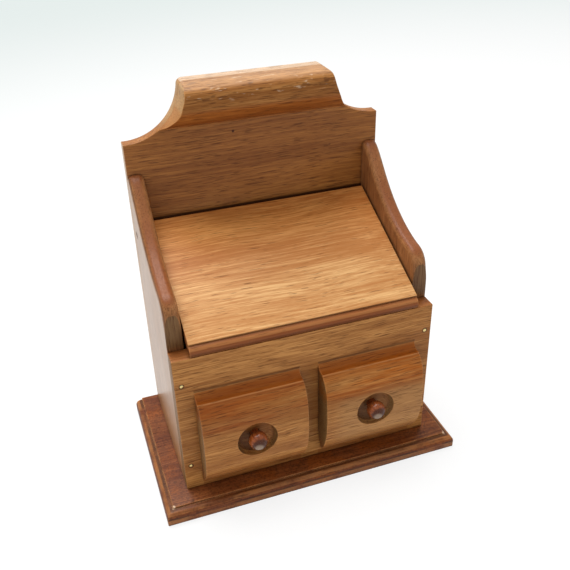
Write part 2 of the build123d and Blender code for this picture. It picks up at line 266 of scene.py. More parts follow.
def closed_rings(rings):
    """Points and faces of a solid made of closed rings of points, with flat ends."""
    count, around, _ = rings.shape
    index = np.arange(count * around).reshape(count, around)
    ends = [index[0, ::-1].tolist(), index[-1].tolist()]
    return rings.reshape(-1, 3), ring_quads(index).reshape(-1, 4).tolist() + ends


def prism(outline, low, high, axis):
    """Closed outline carried straight along an axis from low to high. Axis 0 takes the
    outline as Y and Z, and axis 1 as X and Z."""
    return closed_rings(np.stack([np.insert(outline, axis, place, axis=1)
                                  for place in (low, high)]))


def turned(profile, centre, axis=1, steps=64):
    """Solid of a profile of radius and height, turned round a line along an axis through
    centre: the other two coordinates are the radius times the cosine and the sine."""
    angle = np.linspace(0, 2 * math.pi, steps, endpoint=False)
    radius, height = np.array(profile).T
    flat = radius[:, None, None] * turn_by((1.0, 0.0), angle)
    return closed_rings(np.insert(flat, axis, height[:, None], axis=2) + centre)


def add_piece(name, solids, ease=0.0, front=None, flat_over=9.0, crease=40.0):
    """One object from solids of points and faces in millimetres. Doubles are merged, what
    stands before the plane Y = front is cut off, and convex edges sharper than 30 degrees
    are eased."""
    points, faces = np.zeros((0, 3)), []
    for more, ringed in solids:
        faces += [[corner + len(points) for corner in face] for face in ringed]
        points = np.vstack([points, more])
    mesh = bpy.data.meshes.new(name)
    mesh.from_pydata(points * MM, [], faces)
    work = bmesh.new()
    work.from_mesh(mesh)
    bmesh.ops.remove_doubles(work, verts=work.verts, dist=1e-7)
    if front is not None:
        bmesh.ops.bisect_plane(work, geom=work.verts[:] + work.edges[:] + work.faces[:],
                               plane_co=(0, front * MM, 0), plane_no=(0, -1, 0),
                               clear_outer=True)
        bmesh.ops.holes_fill(work, edges=[e for e in work.edges if e.is_boundary])
    bmesh.ops.dissolve_degenerate(work, edges=work.edges, dist=1e-7)
    bmesh.ops.recalc_face_normals(work, faces=work.faces)
    if ease:
        sharp = [e for e in work.edges
                 if e.is_convex and e.calc_face_angle(0.0) > math.radians(30)]
        bmesh.ops.bevel(work, geom=sharp, offset=ease, segments=3, profile=0.5,
                        affect="EDGES", clamp_overlap=False)
        bmesh.ops.remove_doubles(work, verts=work.verts, dist=1e-7)
    work.to_mesh(mesh)
    work.free()
    piece = bpy.data.objects.new(name, mesh)
    bpy.context.scene.collection.objects.link(piece)
    shade(mesh, flat_over, crease)
    return piece


def shade(mesh, flat_over, crease):
    """Flat shading on faces larger than flat_over square millimetres, smooth on the rest,
    and sharp edges where faces turn by more than crease in degrees."""
    area = np.empty(len(mesh.polygons), np.float32)
    mesh.polygons.foreach_get("area", area)
    mesh.polygons.foreach_set("use_smooth", area < flat_over * MM * MM)
    mesh.set_sharp_from_angle(angle=math.radians(crease))
    mesh.update()


def cut(piece, cutters, flat_over=9.0, crease=40.0):
    """Takes closed cutters of points and faces out of a piece."""
    tool = add_piece("cutter", cutters)
    change = piece.modifiers.new("Cut", "BOOLEAN")
    change.operation, change.solver, change.object = "DIFFERENCE", "EXACT", tool
    whole = piece.evaluated_get(bpy.context.evaluated_depsgraph_get())
    mesh = bpy.data.meshes.new_from_object(whole)
    piece.modifiers.clear()
    piece.data = mesh
    mesh.name = piece.name
    bpy.data.objects.remove(tool)
    shade(mesh, flat_over, crease)


def dress(piece, node, material):
    """Puts a new piece in the place of its CAD node, on the same body and slot."""
    piece.data.materials.append(material)
    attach(piece, frame["nodes"][node]["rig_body"])
    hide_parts(node)


# ---------------------------------------------------------------- shader nodes

class Value:
    """Output of a shader node, which adds, subtracts and multiplies like a number."""

    def __init__(self, nodes, socket):
        self.nodes, self.socket = nodes, socket

    def __add__(self, other):
        return self.nodes.maths("ADD", self, other)

    def __mul__(self, other):
        return self.nodes.maths("MULTIPLY", self, other)

    def __sub__(self, other):
        return self.nodes.maths("SUBTRACT", self, other)

    def __rsub__(self, other):
        return self.nodes.maths("SUBTRACT", other, self)

    def __or__(self, other):
        """The larger of two masks."""
        return self.nodes.maths("MAXIMUM", self, other)

    __radd__, __rmul__ = __add__, __mul__

    def beside(self, name):
        """Another output of the same node."""
        return Value(self.nodes, self.socket.node.outputs[name])

    def spread(self, low, high):
        """The value carried smoothly from 0 at low to 1 at high."""
        return self.nodes.add("ShaderNodeMapRange", interpolation_type="SMOOTHSTEP",
                              Value=self, From_Min=low, From_Max=high)


class Nodes:
    """Short ways to add nodes to a shader tree. Noise and masks are read at a place,
    whose coordinates are in metres."""

    def __init__(self, tree, place=None):
        self.tree, self.place = tree, place

    def put(self, socket, value):
        """Links a value to a socket, or sets the socket to a number, colour or vector."""
        if isinstance(value, Value):
            self.tree.links.new(value.socket, socket)
        elif socket.type == "RGBA":
            socket.default_value = (*value, 1.0)
        else:
            socket.default_value = value

    def feed(self, made, **inputs):
        """Links or sets a node's inputs by name."""
        for name, value in inputs.items():
            self.put(made.inputs[name.replace("_", " ")], value)

    def add(self, kind, *values, outlet=0, **named):
        """Output of a new node. Values go to its first inputs in order, names in small
        letters are its settings, and names with a capital are its inputs."""
        made = self.tree.nodes.new(kind)
        for name in filter(str.islower, named):
            setattr(made, name, named[name])
        self.feed(made, **{name: value for name, value in named.items()
                           if not name.islower()})
        for socket, value in zip(made.inputs, values):
            self.put(socket, value)
        return Value(self, made.outputs[outlet])

    def maths(self, operation, *values):
        return self.add("ShaderNodeMath", *values, operation=operation)

    def vector(self, operation, *values, **named):
        return self.add("ShaderNodeVectorMath", *values, operation=operation, **named)

    def mix(self, factor, low, high, blend="MIX"):
        """Colour carried from low to high."""
        made = self.tree.nodes.new("ShaderNodeMix")
        made.data_type, made.blend_type = "RGBA", blend
        for number, value in ((0, factor), (6, low), (7, high)):
            self.put(made.inputs[number], value)
        return Value(self, made.outputs[2])

    def noise(self, along, across, detail, rough=0.5):
        """Noise that is drawn out along X, with along and across as turns in a metre."""
        scaled = self.vector("MULTIPLY", self.place, (along, across, across))
        return self.add("ShaderNodeTexNoise", Vector=scaled, Scale=1.0, Detail=detail,
                        Roughness=rough)

    def distance(self, centre):
        """Distance of the place from a point in metres."""
        return self.vector("DISTANCE", self.place, centre, outlet="Value")

    def between(self, axis, low, high, soft=1.0):
        """Mask that is 1 where a coordinate lies from low to high, and fades out over
        soft, all in millimetres."""
        place = self.add("ShaderNodeSeparateXYZ", self.place, outlet=axis)
        return (place.spread((low - soft) * MM, low * MM)
                * place.spread((high + soft) * MM, high * MM))

    def near(self, centre, radius, soft):
        """Mask that is 1 within radius of a centre, and fades out over soft, all in
        millimetres."""
        gap = self.distance([value * MM for value in centre])
        return gap.spread((radius + soft) * MM, radius * MM)

    def outer_faces(self):
        """Mask of both outer faces of the side boards and of the back board's ends."""
        edge = corners("side_right")[1][0]
        return (self.between(0, -edge - 0.3, -edge + 0.3, 0.3)
                | self.between(0, edge - 0.3, edge + 0.3, 0.3))

    def marks(self, per_metre, size, share_of):
        """Mask of small round marks, about a share of the points of a pattern."""
        return self.add("ShaderNodeGroup", node_tree=MARKS, Vector=self.place,
                        Per_metre=per_metre, Size=size, Share=share_of)


class Paint(Nodes):
    """Nodes of one material, with the stain of its surface as it builds up."""

    def __init__(self, tree):
        super().__init__(tree)
        self.place = self.add("ShaderNodeTexCoord", outlet="Object")
        self.finish = bpy.context.scene.card_box_finish
        self.stain = None

    def tint(self, mask, amount, colour_of):
        """Carries the stain towards a colour by a share of a mask."""
        self.stain = self.mix(mask * amount, self.stain, colour_of)

    def stain_over(self, mask, amount):
        """Puts a second, clear orange stain over the first: it is multiplied by what that
        lets through."""
        self.stain = self.mix(mask * amount, self.stain, self.finish.amber, "MULTIPLY")

    def bands(self, mask, start, rows):
        """Level bands in a mask: lowest and highest place over start, fade, amount and
        colour of each."""
        for low, high, soft, amount, colour_of in rows:
            self.tint(mask * self.between(2, start + low, start + high, soft), amount,
                      colour_of)


def new_group(name, build, **inputs):
    """Shader node group of a vector and float inputs, given with their defaults. build
    takes nodes at the vector and the inputs, and returns the float outputs by name."""
    tree = bpy.data.node_groups.new(name, "ShaderNodeTree")
    tree.interface.new_socket("Vector", in_out="INPUT", socket_type="NodeSocketVector")
    for label, value in inputs.items():
        made = tree.interface.new_socket(label.replace("_", " "), in_out="INPUT",
                                         socket_type="NodeSocketFloat")
        made.default_value = value
    nodes = Nodes(tree)
    nodes.place = nodes.add("NodeGroupInput", outlet="Vector")
    outputs = build(nodes, *[nodes.place.beside(label.replace("_", " "))
                             for label in inputs])
    for label in outputs:
        tree.interface.new_socket(label, in_out="OUTPUT", socket_type="NodeSocketFloat")
    nodes.feed(tree.nodes.new("NodeGroupOutput"), **outputs)
    return tree


def wood_figure(nodes, waviness, pore_amount):
    """Figure of straight-grained open-pored wood whose grain runs along X: slow bands and
    streaks of tone, fine fibres, pores as short dark dashes, and clouds of deeper stain.
    Each is noise drawn out along X."""
    drift = nodes.add("ShaderNodeTexNoise", Vector=nodes.place, Scale=14.0, Detail=1.0,
                      outlet="Color")
    centred = nodes.vector("SUBTRACT", drift, (0.5, 0.5, 0.5))
    sway = nodes.vector("SCALE", centred, Scale=waviness)
    nodes.place = nodes.vector("ADD", nodes.place, sway)
    tone = 0.4 * nodes.noise(4.0, 60.0, 2.0) + 0.6 * nodes.noise(16.0, 640.0, 4.0, 0.8)
    level = 0.66 - 0.2 * pore_amount
    return {"Tone": tone.spread(0.38, 0.62),
            "Fibres": nodes.noise(45.0, 1100.0, 3.0, 0.65).spread(0.42, 0.58),
            "Pores": nodes.noise(100.0, 1900.0, 1.0).spread(level, level + 0.1),
            "Clouds": nodes.noise(14.0, 32.0, 2.0).spread(0.36, 0.66)}


def rubbed_edges(nodes, amount):
    """Mask of rubbed edges: how far the normal, rounded over a radius of 1 mm, turns away
    from the true one, broken up by noise."""
    rounded = nodes.add("ShaderNodeBevel", samples=6, Radius=0.001)
    plain = nodes.add("ShaderNodeNewGeometry", outlet="Normal")
    bend = 1.0 - nodes.vector("DOT_PRODUCT", rounded, plain, outlet="Value")
    broken = nodes.noise(120.0, 120.0, 3.0).spread(0.3, 0.58)
    return {"Mask": bend.spread(0.004, 0.09) * broken * amount}


def painted_corner_shade(nodes, amount):
    """Mask of painted shade in corners: how much of its surroundings within 2 mm a
    point can't see, and a little uneven."""
    seen = nodes.add("ShaderNodeAmbientOcclusion", samples=6, Distance=0.002, outlet="AO")
    uneven = nodes.noise(90.0, 90.0, 2.0).spread(0.35, 0.6)
    return {"Mask": seen.spread(0.9, 0.3) * (0.55 + 0.45 * uneven) * amount}


def small_marks(nodes, per_metre, size, share_of):
    """Mask of small marks: round spots about some of the points of a Voronoi pattern,
    chosen by the pattern's own random colour."""
    gap = nodes.add("ShaderNodeTexVoronoi", Vector=nodes.place, Scale=per_metre)
    pick = nodes.add("ShaderNodeSeparateColor", gap.beside("Color"))
    radius = size * (0.4 + pick.beside("Green"))
    chosen = nodes.maths("LESS_THAN", pick, share_of)
    return {"Mask": gap.spread(radius, radius * 0.5) * chosen}


FIGURE = new_group("Wood figure", wood_figure, Waviness=0.004, Pore_amount=0.5)
RUBBED = new_group("Rubbed edges", rubbed_edges, Amount=0.5)
# Painted shade in corners, from how hidden each point is.
CORNER_SHADE = new_group("Corner grime", painted_corner_shade, Amount=0.5)
MARKS = new_group("Small marks", small_marks, Per_metre=120.0, Size=0.05, Share=0.1)


def new_material(name):
    """New material, its nodes and its shader."""
    material = bpy.data.materials.new(name)
    material.use_nodes = True
    tree = material.node_tree
    return material, Paint(tree), tree.nodes["Principled BSDF"]


def wood(name, kind, end, zones, shift, grain=0, shiny=None, pores=0.4, waviness=0.004,
         fibre=0.5, rough=0.45, gloss=0.1, coat=1.0, wear=0.5, grime=0.6):
    """Stained and lacquered wood in the light and dark tone of a kind of piece, with painted
    shade in its corners. end is the stain of faces across the grain, zones adds the piece's
    own changes of stain and its painted light and shade, shift takes it to its own part of
    the figure, grain is the axis along which it grew, and shiny gives where its coat is."""
    material, paint, shader = new_material(name)
    place, finish = paint.place, paint.finish
    light, dark = (getattr(finish, kind + tone) for tone in ("_light", "_dark"))
    turn = ((0, 0, 0), (0, 0, -math.pi / 2), (0, math.pi / 2, 0))[grain]
    grown = paint.add("ShaderNodeMapping", Vector=place, Rotation=turn, Location=shift)
    tone = paint.add("ShaderNodeGroup", node_tree=FIGURE, Vector=grown, Waviness=waviness,
                     Pore_amount=pores)
    fibres, pits, clouds = (tone.beside(label) for label in ("Fibres", "Pores", "Clouds"))
    across = paint.add("ShaderNodeSeparateXYZ", place.beside("Normal"), outlet=grain)
    paint.stain = paint.mix(tone, dark, light)
    paint.tint(fibres, fibre, dark)
    paint.tint(clouds, 0.2, dark)
    paint.tint(paint.maths("ABSOLUTE", across).spread(0.5, 0.85), 0.8, end)
    zones(paint, finish)
    paint.tint(pits, 0.6, finish.pore)
    # Painted shade in corners: darker where a point is hidden by what is round it.
    shade_in_corners = paint.add("ShaderNodeGroup", node_tree=CORNER_SHADE, Vector=place, Amount=grime)
    paint.tint(shade_in_corners, 1.0, finish.grime)
    rubbed = paint.add("ShaderNodeGroup", node_tree=RUBBED, Vector=place, Amount=wear)
    paint.tint(rubbed * (1.0 - paint.maths("MINIMUM", shade_in_corners * 4.0, 1.0)), 1.0, finish.worn)
    bump = paint.add("ShaderNodeBump", Height=fibres * -0.6 - pits, Distance=0.00008,
                     Strength=0.7)
    glaze = finish.lacquer * coat
    paint.feed(shader, Base_Color=paint.stain, Roughness=rough + pits * 0.15 + clouds * 0.1,
               Normal=bump, Specular_IOR_Level=gloss, Coat_Roughness=0.28,
               Coat_Weight=shiny(paint) * glaze if shiny else glaze)
    return material


def metal(name, tone, rough):
    """Metal with fine scratches in its gloss and a thin tarnish."""
    material, paint, shader = new_material(name)
    tarnish = paint.noise(2500.0, 2500.0, 3.0).spread(0.35, 0.75)
    dull = [0.45 * channel for channel in tone]
    paint.feed(shader, Base_Color=paint.mix(tarnish * 0.5, tone, dull),
               Roughness=rough + tarnish * 0.2, Metallic=1.0)
    return material


# ---------------------------------------------------------------- shapes

def base_board_solid():
    """Moulded base: the section's inset shrinks the plan at the front and both ends, and
    the plan's front corners are slightly rounded."""
    low, high = corners("base_board")
    section = moulded_edge(high[2] - low[2])
    inset, level = section[:, 0, None], section[:, 1, None] + low[2]
    corner = 0.5
    angle = np.radians(np.linspace(180, 270, 4))
    left = low[0] + inset + corner * (1 + np.cos(angle))
    front = low[1] + inset + corner * (1 + np.sin(angle))
    rear = np.full_like(inset, high[1])
    x = np.hstack([low[0] + inset, left, -left[:, ::-1], high[0] - inset])
    y = np.hstack([rear, front, front[:, ::-1], rear])
    return closed_rings(np.stack([x, y, np.broadcast_to(level, x.shape)], axis=-1))


def screw_cutters():
    """Countersinks of the base's screws, turned round upright axes."""
    low, high = corners("base_screws")
    head, wide, shank, sink = 3.5, 3.52, 1.77, 0.4
    profile = [(wide, -1.0), (wide, sink), (shank, sink + wide - shank), (shank, sink + 6.0)]
    return [turned(profile, (x, y, 0.0), axis=2, steps=32)
            for x in (low[0] + head, high[0] - head) for y in (low[1] + head, high[1] - head)]


def side_board_solid(node, shape):
    """Side board: the outline in Y and Z, with both long top edges rounded. A point of a
    ring lies inside the outline by r(1 - sin t) and inside the face by r(1 - cos t)."""
    low, high = corners(node)
    radius, run_on = shape.arm_round / MM, 20
    face_top, nose, steep, shallow = low[2] + 113.4, 12.0, 75.0, 9.0
    turn = np.radians(np.linspace(steep, shallow, 16))
    nose_y = low[1] + nose * (np.sin(turn[0]) - np.sin(turn))
    nose_z = face_top + nose * (np.cos(turn) - np.cos(turn[0]))
    sweep = smooth_curve(
        [(nose_y[-1], nose_z[-1]), (high[1] - 21.1, high[2] - 18.0),
         (high[1] - 8.1, high[2] - 4.7), (high[1], high[2])],
        (math.cos(turn[-1]), math.sin(turn[-1])), (1.0, 0.07))
    start = (nose_y[0] - run_on * math.cos(turn[0]), nose_z[0] - run_on * math.sin(turn[0]))
    top = np.vstack([[start], np.column_stack([nose_y, nose_z]), sweep[1:]])
    ways = np.gradient(top, axis=0)
    ways[0], ways[-1] = ways[1], (1, 0)
    outward = np.column_stack([-ways[:, 1], ways[:, 0]]) / np.hypot(*ways.T)[:, None]
    outline = np.vstack([top, [(high[1], low[2]), (start[0], low[2])]])
    outward = np.vstack([outward, np.zeros((2, 2))])
    radii = np.r_[np.full(len(top), radius), 0, 0]
    angle = np.linspace(0, math.pi / 2, 15)[:, None]
    inset, rise = radii * (1 - np.sin(angle)), radii * (1 - np.cos(angle))
    flat = outline - outward * inset[..., None]
    lower = np.dstack([low[0] + rise, flat])
    upper = np.dstack([high[0] - rise, flat])
    return closed_rings(np.vstack([lower, upper[::-1]]))


def pin_cutter(node):
    """Hole for a hinge pin, through a side board."""
    radius, reach = 1.52, 20.0
    centre = middle("hinge_pin_left")
    centre[0] = middle(node)[0]
    return turned([(radius, -reach), (radius, reach)], centre, axis=0, steps=32)


def shoulder_curve():
    """Right edge of the back board from its shoulder to the top of the crest, X and Z."""
    low, high = corners("back_board")
    shoulder = np.array([high[0] - 1.7, low[2] + 180.5])
    hollow, way = tangent_arc(shoulder, (-1, 0), (42.3, high[2] - 3.0), 24)
    corner, _ = tangent_arc(hollow[-1], way, (39.3, high[2]), 8)
    return np.vstack([[(high[0], shoulder[1])], hollow, corner[1:]])


def back_board_solid():
    """Flat board whose outline is the right edge and its mirror image."""
    low, high = corners("back_board")
    right = np.vstack([[(high[0], low[2])], shoulder_curve()])
    return prism(np.vstack([right, right[::-1] * (-1, 1)]), low[1], high[1], 1)


def crest_section():
    """Front of the crest as Y and Z, from its foot up and over to the top."""
    (_, front, _), (_, panel, top) = corners("crest_moulding")
    turn_top, size, foot = top - 0.7, 6.7, panel - 0.8
    turn, _ = tangent_arc((front + size, turn_top), (-1, -0.07), (front, turn_top - size))
    nose, way = tangent_arc((front, top - 13.0), (0, -1), (front + 0.65, top - 14.85), 5)
    under, _ = tangent_arc(nose[-1], way, (foot, top - 25.1), 16)
    return np.vstack([[(panel, top)], turn, nose, under[1:], [(foot, top - 25.9)]])[::-1]


def crest_solid():
    """Roll whose half-width at each height is that of the back board's outline there."""
    y, z = np.hsplit(crest_section(), 2)
    edge_x, edge_z = shoulder_curve().T
    half = np.interp(z, edge_z, edge_x)
    panel = np.full_like(y, corners("crest_moulding")[1][1])
    return closed_rings(np.stack([np.hstack([-half, half, half, -half]),
                                  np.hstack([y, y, panel, panel]),
                                  np.hstack([z, z, z, z])], axis=-1))


def drawer_section(base, reach):
    """Rows of the drawer fronts as reach before the flat and height, from the foot up:
    lower turn, long shallow middle, upper turn, ledge and cove."""
    centre, half, swell, foot, cove = base + 39.7, 14.0, 1.15, base + 4.5, 4.7
    bow = (half**2 + swell**2) / (2 * swell)
    way = (-half / bow, -(bow - swell) / bow)
    edge = reach - swell
    lower, _ = tangent_arc((edge, centre - half), way, (0, foot), 40)
    upper, _ = tangent_arc((edge, centre + half), (way[0], -way[1]), (6.2, base + LEDGE))
    levels = np.r_[np.linspace(foot, centre - 17, 22),
                   np.linspace(centre - 17, centre + 13, 21)[1:]]
    bowed = reach - bow + np.sqrt(bow**2 - np.clip(np.abs(levels - centre), 0, half)**2)
    low = np.interp(levels, lower[::-1, 1], lower[::-1, 0])
    rows = np.column_stack([np.where(levels < centre - half, low, bowed), levels])
    return np.vstack([rows, upper, arc((cove, base + LEDGE + cove), cove, 270, 180, 10)])


def front_board_solid(shape):
    """Front board as a height before its flat face over X and Z. Columns that stand
    twice at one X carry the upright walls, and each dish is a ring pattern set into a
    square of the grid: straight lines from the square to the dish's rim, then the wall,
    a quarter turn and the floor."""
    low, high = corners("front_board")
    base, top, rear = low[2], high[2], high[1]
    face = rear - PANEL
    reach, dish = shape.drawer_reach / MM, shape.dish_radius / MM
    rows = np.vstack([[(0, base)], drawer_section(base, reach), [(0, top)]])
    out, level = rows.T
    dish_z, patch, cells, wall = base + DISH_Z, 15.0, 20, 4.5
    near_end, far_end = DRAWER_ENDS
    span = np.linspace(DISH_X - patch, DISH_X + patch, cells + 1)
    right = np.r_[near_end, near_end + 0.8, span, far_end - 0.8, far_end]
    x = np.r_[-high[0], -far_end, -right[::-1], -near_end, near_end, right, far_end, high[0]]
    flat, drawer, channel = 0, 1, 2
    kind = np.r_[[flat] * 2, [drawer] * len(right), [channel] * 2, [drawer] * len(right),
                 [flat] * 2]
    turn, turn_end = 15.0, base + 21.7
    fall = np.clip(turn_end - level, 0, turn)
    floor = np.where(level < turn_end, turn - np.sqrt(turn**2 - fall**2), 0.0)
    heights = np.where(kind == drawer, out[:, None],
                       np.where(kind == channel, np.minimum(out, floor)[:, None], 0.0))
    grid = np.stack(np.broadcast_arrays(x, face - heights, level[:, None]), axis=-1)
    ends = np.stack(np.broadcast_arrays([high[0], -high[0]], rear, level[:, None]), axis=-1)
    rings = np.concatenate([grid, ends], axis=1)
    count, around, _ = rings.shape
    index = np.arange(count * around).reshape(count, around)
    quads, keep = ring_quads(index), np.ones((count - 1, around), bool)
    points, faces = [rings.reshape(-1, 3)], [index[0, ::-1].tolist(), index[-1].tolist()]
    row = int(np.argmin(np.abs(level - (dish_z - patch))))
    total = count * around
    for centre in (-DISH_X, DISH_X):
        column = int(np.argmin(np.abs(np.where(kind == drawer, x, 1e3) - (centre - patch))))
        keep[row:row + cells, column:column + cells] = False
        block = index[row:row + cells + 1, column:column + cells + 1]
        rim = np.r_[block[0, :-1], block[:-1, -1], block[-1, :0:-1], block[:0:-1, 0]]
        square = points[0][rim][:, [0, 2]] - (centre, dish_z)
        way = square / np.hypot(*square.T)[:, None]
        step = np.linspace(0, 1, 8)[1:, None, None]
        plan = square * (1 - step) + way * dish * step
        raised = np.interp(plan[..., 1] + dish_z, level[1:-12], out[1:-12])
        deep = reach - DISH_DEPTH
        hollow = np.vstack([arc((dish - wall, deep + wall), wall, 0, -90, 8), [(4.0, deep)]])
        plan = np.concatenate([plan, way * hollow[:, 0, None, None]])
        depth = np.concatenate([raised, np.repeat(hollow[:, 1, None], len(rim), axis=1)])
        made = np.dstack([plan[..., 0] + centre, face - depth, plan[..., 1] + dish_z])
        numbers = total + np.arange(depth.size).reshape(depth.shape)
        numbers = np.vstack([rim, numbers])
        faces += ring_quads(numbers).reshape(-1, 4).tolist() + [numbers[-1].tolist()]
        points.append(made.reshape(-1, 3))
        total += depth.size
    return np.vstack(points), quads[keep].tolist() + faces


def lid_solid():
    """Lid: its section, with the moulded front edge, stands on the sloping line through
    its lower front corner."""
    low, high = corners("lid")
    front, foot, slope = lid_corner()
    thick, ease, play = 6.4, 0.5, 1.2
    long = (corners("back_board")[0][1] - play - front) / math.cos(slope)
    section = np.vstack([moulded_edge(thick),
                         arc((long - ease, thick - ease), ease, 90, 0, 3),
                         arc((long - ease, ease), ease, 0, -90, 3)])
    return prism(turn_by(section.T, slope) + (front, foot), low[0], high[0], 0)


def knob_solid(node, shape):
    """Knob turned from its tenon, neck and ball: at an angle t from the ball's rear pole
    its radius is r sin t, and it stands before the floor by the ball's stand less
    r cos t."""
    x, _, z = middle(node)
    floor = corners("front_board")[0][1] + DISH_DEPTH
    radius, stand, neck = shape.knob_radius / MM, shape.knob_stand / MM, 3.0
    angle = np.linspace(math.asin(neck / radius), math.radians(179), 33)
    ball = np.column_stack([radius * np.sin(angle), stand - radius * np.cos(angle)])
    profile = np.vstack([[(2.5, -9.0), (2.5, 0), (neck, 0.001)], ball])
    return turned(profile * (1, -1), (x, floor, z))


def brad_solids(node, shape, back=False):
    """Domed heads of the brads, each on a short shank, at the places of the CAD ones. A
    dome of radius r and height h is cut from a ball of radius (r r + h h) / 2h."""
    low, high = corners(node)
    radius, stand = shape.brad_radius / MM, shape.brad_stand / MM
    rim = 0.02  # height of the dome's edge, and radius of its flat tip
    ball = (radius**2 + (stand - rim)**2) / (2 * (stand - rim))
    out = np.linspace(radius, rim, 11)
    dome = np.column_stack([out, stand - ball + np.sqrt(ball**2 - out**2)])
    profile = np.vstack([[(0.65, -3.0), (radius, -0.2)], dome]) * (1, 1 if back else -1)
    return [turned(profile, (x, high[1] if back else low[1], z), steps=24)
            for x in (low[0] + BRAD, high[0] - BRAD)
            for z in np.linspace(low[2] + BRAD, high[2] - BRAD, 3 if back else 2)]


# ---------------------------------------------------------------- operators

def settings(context):
    """The finish and the shape that are set in the scene."""
    return context.scene.card_box_finish, context.scene.card_box_shape


class CARDBOX_OT_base(bpy.types.Operator):
    """Make the moulded base"""

    bl_idname = "card_box.base"
    bl_label = "Base"

    def execute(self, context):
        finish, _ = settings(context)
        piece = add_piece("base", [base_board_solid()])
        cut(piece, screw_cutters())
        dress(piece, "base_board", wood(
            "Base wood", "base", finish.base_dark, self.zones, (0.31, 0.12, 0.47),
            pores=0.35, rough=0.4, wear=0.9))
        return {"FINISHED"}

    def zones(self, paint, finish):
        """Mottled orange patches, small dark dents, a dark streaky band under the round, a
        rubbed band low on the upright, a lighter line at the top of the round that is rubbed
        wear and painted highlight, painted shade in the step under the landing and along the
        foot, and chipped corners."""
        (left, front, _), (right, _, top) = corners("base_board")
        paint.tint(paint.noise(75.0, 75.0, 4.0).spread(0.48, 0.62), 0.35, finish.warm)
        paint.tint(paint.noise(900.0, 900.0, 2.0).spread(0.5, 0.62), 0.4, finish.grime)
        paint.tint(paint.marks(170.0, 0.2, 0.3), 0.4, finish.grime)
        broken = paint.noise(60.0, 60.0, 3.0).spread(0.3, 0.55)
        # Along the round: a dark streaky band, a rubbed band low on the upright, a lighter line
        # at the top of the round that is rubbed wear and painted highlight, and painted shade
        # in the step under the landing.
        paint.bands(broken, top, (
            (-5.4, -4.3, 0.5, 0.6, finish.grime), (-8.2, -5.6, 0.6, 0.3, finish.worn),
            (-2.6, -1.5, 0.5, 0.35, finish.worn), (-1.3, -0.45, 0.1, 0.6, finish.grime)))
        # Painted shade along the foot, where the base meets the floor.
        paint.bands(broken, 0.0, [(-0.5, 0.5, 0.3, 0.6, finish.grime)])
        landing = 4.5
        for x in (left + landing, right - landing):
            paint.tint(paint.near((x, front + landing, top), 0.8, 0.8), 0.8, finish.chalk)


class CARDBOX_OT_sides(bpy.types.Operator):
    """Make both side boards with their swept arms"""

    bl_idname = "card_box.sides"
    bl_label = "Side boards"

    def execute(self, context):
        finish, shape = settings(context)
        crease = 12.5
        for number, node in enumerate(("side_left", "side_right")):
            piece = add_piece(node + "_board", [side_board_solid(node, shape)],
                              ease=shape.edge_ease * 0.7, front=corners(node)[0][1],
                              crease=crease)
            cut(piece, [pin_cutter(node)], crease=crease)
            dress(piece, node, wood(
                "Side wood " + ("left", "right")[number], "side", finish.deep, self.zones,
                (0.1 + number, 0.3, 0.2), grain=2, shiny=self.shiny, fibre=0.6, rough=0.4,
                gloss=0.15, coat=5.0, wear=0.2))
        return {"FINISHED"}

    def shiny(self, paint):
        """The outer faces keep the most lacquer, but for a ring round the pin's hole."""
        return 0.15 + 0.85 * (paint.outer_faces() * (1.0 - self.hole(paint)))

    def hole(self, paint):
        """Mask of the ring round the pin's hole on either outer face."""
        edge = corners("side_left")[0][0]
        _, y, z = middle("hinge_pin_left")
        return paint.near((edge, y, z), 1.9, 0.7) | paint.near((-edge, y, z), 1.9, 0.7)

    def zones(self, paint, finish):
        """Paler outer faces, faded wood with painted light from the left, with painted shade
        in a ring round the pin's hole and a dark line along the arms, greyer front ends of the
        arms, where the saw cut across the sweep, and fine upright lines there."""
        edge, front, _ = corners("side_left")[0]
        arms = corners("front_board")[1][2] + 3.5
        # Paler outer faces: faded wood, and painted light from the left.
        paint.tint(self.shiny(paint), 0.45, finish.bare)
        # Painted shade in the ring round the pin's hole.
        paint.tint(self.hole(paint), 0.85, finish.grime)
        for x in (edge + 0.6, -edge - 0.6):
            paint.bands(paint.between(0, x - 0.2, x + 0.2, 0.3), arms,
                        [(0.0, 96.5, 3.0, 0.5, finish.pore)])
        end = paint.between(1, front - 1.0, front + 0.05, 0.15)
        paint.bands(end, arms, [(0.0, 36.5, 3.0, 0.8, finish.faded)])
        paint.tint(end * paint.noise(1500.0, 30.0, 2.0).spread(0.4, 0.62), 0.5, finish.pore)


class CARDBOX_OT_back(bpy.types.Operator):
    """Make the back board"""

    bl_idname = "card_box.back"
    bl_label = "Back board"

    def execute(self, context):
        finish, shape = settings(context)
        piece = add_piece("back", [back_board_solid()], ease=shape.edge_ease)
        dress(piece, "back_board", wood(
            "Back wood", "back", finish.bare, self.zones, (0.7, 0.4, 0.1),
            shiny=self.shiny, pores=0.45, gloss=0.15, coat=5.0))
        return {"FINISHED"}

    def shiny(self, paint):
        """The board's end faces keep the most lacquer."""
        return 0.2 + 0.8 * paint.outer_faces()

    def zones(self, paint, finish):
        """Painted shadow in the groove behind the lid, one small dark knot, a few faint
        marks, and a paler top edge that is rubbed wood with painted sheen."""
        (_, face, _), (_, _, top) = corners("back_board")
        # Painted shadow in the gap behind the lid's rear edge.
        groove = paint.between(1, face - 1.0, face + 0.1, 0.1)
        paint.bands(groove, 0.0, [(140.8, corners("lid")[1][2] - 0.6, 1.2, 0.9,
                                   finish.grime)])
        paint.tint(paint.near((-13.6, face, 189.5), 0.5, 0.5), 0.9, finish.grime)
        paint.tint(paint.marks(110.0, 0.07, 0.1), 0.4, finish.pore)
        # Paler top edge: rubbed wood with painted sheen.
        paint.tint(paint.between(2, top - 0.6, top + 1.0, 0.3), 0.5, finish.chalk)


